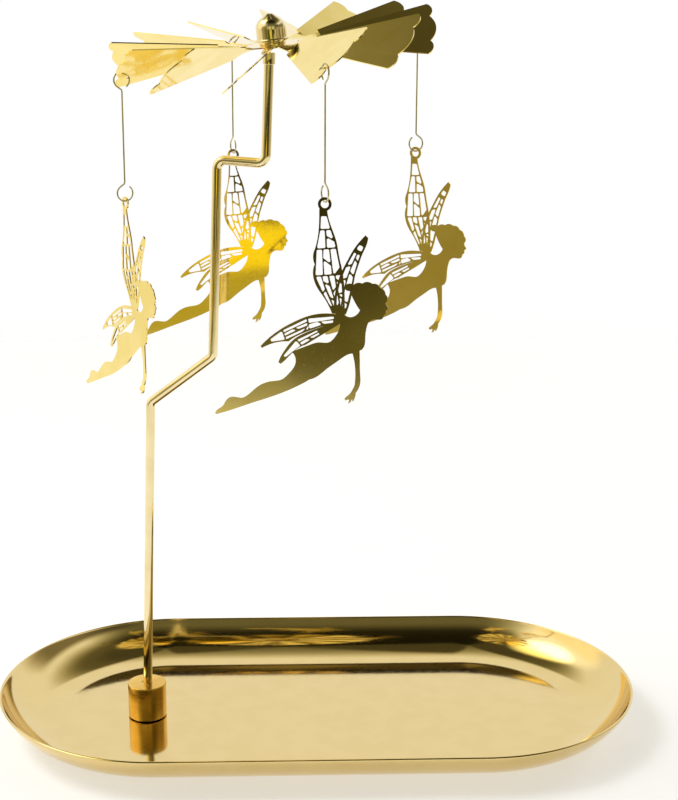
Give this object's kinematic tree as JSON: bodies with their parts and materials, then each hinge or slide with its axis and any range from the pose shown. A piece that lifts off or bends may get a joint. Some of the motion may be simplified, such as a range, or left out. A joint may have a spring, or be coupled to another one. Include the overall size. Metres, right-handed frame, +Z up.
{
  "type": "candle carousel",
  "caption": "Candle-driven carousel: gold capsule tray, magnetic bent post, bladed fan balanced on a needle, and flat winged figures hanging from the fan on looped wires.",
  "frame": {"origin": "centre of the tray's flat underside, on the table", "axes": "+X along the tray, away from the post; +Y to the back; +Z up"},
  "size_m": [0.23, 0.1281, 0.2546],
  "materials": {
    "tray_gold": "mirror polished",
    "base_brass": "fine turned satin",
    "magnet_nickel": "plated",
    "rod_gold": "polished",
    "needle_steel": "ground",
    "dome_gold": "polished",
    "cup_brass": "machined",
    "sheet_gold": "mirror polished sheet",
    "wire_gold": "drawn"
  },
  "bodies": {
    "tray": {"tray": "tray_gold"},
    "base": {"base_weight": "base_brass", "base_magnet": "magnet_nickel"},
    "post": {"post": "rod_gold", "ferrule": "rod_gold", "needle": "needle_steel"},
    "rotor": {"fan": "sheet_gold", "fan_washer": "dome_gold", "hollow_stud": "cup_brass", "dome_cap": "dome_gold", "pivot_cup": "cup_brass"},
    "hanger_front": {"hanger_front": "wire_gold"},
    "fairy_front": {"fairy_front": "sheet_gold"},
    "hanger_right": {"hanger_right": "wire_gold"},
    "fairy_right": {"fairy_right": "sheet_gold"},
    "hanger_back": {"hanger_back": "wire_gold"},
    "fairy_back": {"fairy_back": "sheet_gold"},
    "hanger_left": {"hanger_left": "wire_gold"},
    "fairy_left": {"fairy_left": "sheet_gold"}
  },
  "joints": [
    {"name": "base_lift", "type": "slide", "parent": "tray", "child": "base", "axis": [0, 0, 1], "range_m": [0, 0.03]},
    {"name": "post_turn", "type": "hinge", "parent": "base", "child": "post", "pos_m": [-0.0624, 0, 0.0048], "axis": [0.0377, -0.0137, 0.9992], "continuous": true},
    {"name": "rotor_spin", "type": "hinge", "parent": "post", "child": "rotor", "pos_m": [-0.01572, -0.01699, 0.2475], "axis": [0, 0, 1], "continuous": true},
    {"name": "hanger_front_swing", "type": "hinge", "parent": "rotor", "child": "hanger_front", "pos_m": [0.00043, -0.06331, 0.23415], "axis": [-0.9205, -0.3907, 0], "range_deg": [-10, 30]},
    {"name": "fairy_front_swing", "type": "hinge", "parent": "hanger_front", "child": "fairy_front", "pos_m": [0.00043, -0.06331, 0.1968], "axis": [0.3907, -0.9205, 0], "range_deg": [-30, 30]},
    {"name": "hanger_right_swing", "type": "hinge", "parent": "rotor", "child": "hanger_right", "pos_m": [0.03242, -0.00163, 0.24336], "axis": [0.3907, -0.9205, 0], "range_deg": [-10, 30]},
    {"name": "fairy_right_swing", "type": "hinge", "parent": "hanger_right", "child": "fairy_right", "pos_m": [0.03242, -0.00163, 0.20601], "axis": [0.9205, 0.3907, 0], "range_deg": [-30, 30]},
    {"name": "hanger_back_swing", "type": "hinge", "parent": "rotor", "child": "hanger_back", "pos_m": [-0.02945, 0.0312, 0.23954], "axis": [0.9205, 0.3907, 0], "range_deg": [-10, 30]},
    {"name": "fairy_back_swing", "type": "hinge", "parent": "hanger_back", "child": "fairy_back", "pos_m": [-0.02945, 0.0312, 0.20219], "axis": [-0.3907, 0.9205, 0], "range_deg": [-30, 30]},
    {"name": "hanger_left_swing", "type": "hinge", "parent": "rotor", "child": "hanger_left", "pos_m": [-0.06158, -0.03058, 0.23028], "axis": [-0.3907, 0.9205, 0], "range_deg": [-10, 30]},
    {"name": "fairy_left_swing", "type": "hinge", "parent": "hanger_left", "child": "fairy_left", "pos_m": [-0.06158, -0.03058, 0.19293], "axis": [-0.9205, -0.3907, 0], "range_deg": [-30, 30]}
  ]
}
